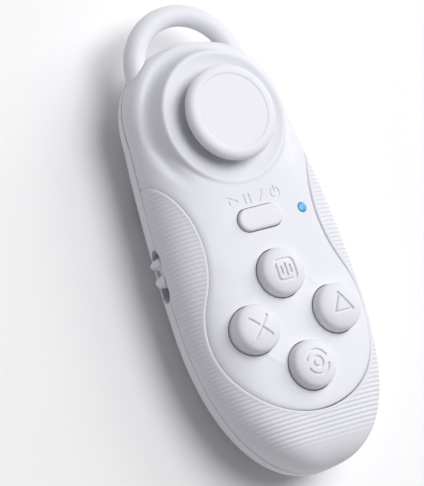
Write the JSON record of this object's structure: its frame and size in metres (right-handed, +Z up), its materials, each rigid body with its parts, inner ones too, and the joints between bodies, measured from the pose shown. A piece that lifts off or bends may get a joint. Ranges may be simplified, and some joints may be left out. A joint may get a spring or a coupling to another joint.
{
  "type": "vr motion controller",
  "caption": "One-hand motion controller with a tilting thumb stick, domed push keys, ribbed side grip, side mode slider, finger keys under the head and a wrist strap eye.",
  "frame": {"origin": "under the middle of the bounding box, on the table plane, with the controller lying on its battery door", "axes": "+Z up out of the face, +Y along the grip towards the strap eye, +X to the right seen from above the face"},
  "size_m": [0.0464, 0.1112, 0.0262],
  "materials": {
    "housing_plastic": "fine spark-eroded texture",
    "grip_plastic": "moulded ribs, matt",
    "key_plastic": "satin",
    "light_pipe": "clear tinted",
    "led": "moulded lens",
    "dark_plastic": "matt",
    "grey_plastic": "matt",
    "green_board": "solder mask",
    "phenolic": "matt",
    "silicone": "matt",
    "steel_screw": "zinc plated",
    "tin_can": "tin plated",
    "nickel_contact": "nickel plated",
    "snap_dome": "plated",
    "cell_label": "printed sleeve",
    "tray_plastic": "matt",
    "ribbon": "film",
    "wire_red": "PVC",
    "wire_black": "PVC"
  },
  "bodies": {
    "housing": {"face_cover": "housing_plastic", "grip_band": "grip_plastic", "back_shell": "housing_plastic", "strap_loop": "housing_plastic", "housing_screw_1": "steel_screw", "housing_screw_2": "steel_screw", "housing_screw_3": "steel_screw", "housing_screw_4": "steel_screw", "keypad_mat": "silicone", "led_light_pipe": "light_pipe", "status_led": "led", "main_board": "green_board", "board_screw_1": "steel_screw", "board_screw_2": "steel_screw", "controller_chip": "dark_plastic", "crystal": "tin_can", "head_board": "green_board", "trigger_ribbon": "ribbon", "stick_frame": "tin_can", "stick_pot_x": "phenolic", "stick_pot_y": "phenolic", "slide_switch": "tin_can", "battery_tray": "tray_plastic", "battery_left": "cell_label", "battery_right": "cell_label", "bridge_contact": "nickel_contact", "positive_terminal": "nickel_contact", "negative_terminal": "nickel_contact", "lead_red": "wire_red", "lead_black": "wire_black", "top_dome": "silicone", "left_dome": "silicone", "right_dome": "silicone", "bottom_dome": "silicone", "start_dome": "silicone", "lower_trigger_dome": "snap_dome", "upper_trigger_dome": "snap_dome"},
    "door": {"battery_door": "housing_plastic"},
    "yoke": {"stick_yoke": "grey_plastic"},
    "stick": {"stick_cap": "key_plastic", "stick_skirt": "housing_plastic", "stick_shaft": "dark_plastic"},
    "rocker": {"stick_rocker": "grey_plastic"},
    "slider": {"mode_slider": "key_plastic", "switch_lever": "dark_plastic"},
    "lower_key": {"lower_trigger": "key_plastic"},
    "upper_key": {"upper_trigger": "key_plastic"},
    "start_key": {"start_button": "key_plastic"},
    "top_key": {"top_button": "key_plastic"},
    "left_key": {"left_button": "key_plastic"},
    "right_key": {"right_button": "key_plastic"},
    "bottom_key": {"bottom_button": "key_plastic"}
  },
  "joints": [
    {"name": "top_press", "type": "slide", "parent": "housing", "child": "top_key", "axis": [0, 0, -1], "range_m": [0, 0.001], "stiffness_N_per_m": 900, "springref_m": -0.0006, "deforming": ["top_dome"]},
    {"name": "left_press", "type": "slide", "parent": "housing", "child": "left_key", "axis": [0, 0, -1], "range_m": [0, 0.001], "stiffness_N_per_m": 900, "springref_m": -0.0006, "deforming": ["left_dome"]},
    {"name": "right_press", "type": "slide", "parent": "housing", "child": "right_key", "axis": [0, 0, -1], "range_m": [0, 0.001], "stiffness_N_per_m": 900, "springref_m": -0.0006, "deforming": ["right_dome"]},
    {"name": "bottom_press", "type": "slide", "parent": "housing", "child": "bottom_key", "axis": [0, 0, -1], "range_m": [0, 0.001], "stiffness_N_per_m": 900, "springref_m": -0.0006, "deforming": ["bottom_dome"]},
    {"name": "start_press", "type": "slide", "parent": "housing", "child": "start_key", "axis": [0, 0, -1], "range_m": [0, 0.0007], "stiffness_N_per_m": 900, "springref_m": -0.0006, "deforming": ["start_dome"]},
    {"name": "lower_trigger_press", "type": "slide", "parent": "housing", "child": "lower_key", "axis": [0, 0, 1], "range_m": [0, 0.0004], "stiffness_N_per_m": 1200, "springref_m": -0.0006, "deforming": ["lower_trigger_dome"]},
    {"name": "upper_trigger_press", "type": "slide", "parent": "housing", "child": "upper_key", "axis": [0, 0, 1], "range_m": [0, 0.0004], "stiffness_N_per_m": 1200, "springref_m": -0.0006, "deforming": ["upper_trigger_dome"]},
    {"name": "stick_fore_aft", "type": "hinge", "parent": "housing", "child": "yoke", "pos_m": [0, 0.02615, 0.0137], "axis": [1, 0, 0], "range_deg": [-8, 8], "stiffness_Nm_per_rad": 0.02},
    {"name": "stick_side", "type": "hinge", "parent": "yoke", "child": "stick", "pos_m": [0, 0.02615, 0.0137], "axis": [0, 1, 0], "range_deg": [-8, 8], "stiffness_Nm_per_rad": 0.02},
    {"name": "rocker_turn", "type": "hinge", "parent": "housing", "child": "rocker", "pos_m": [0, 0.02615, 0.0137], "axis": [0, 1, 0], "range_deg": [-9, 9]},
    {"name": "mode_slide", "type": "slide", "parent": "housing", "child": "slider", "axis": [0, -1, 0], "range_m": [0, 0.0025]},
    {"name": "door_lift_off", "type": "slide", "parent": "housing", "child": "door", "axis": [0, 0, -1], "range_m": [0, 0.02]}
  ],
  "couplings": [
    {"joint": "rocker_turn", "follows": "stick_side", "ratio": 1}
  ]
}
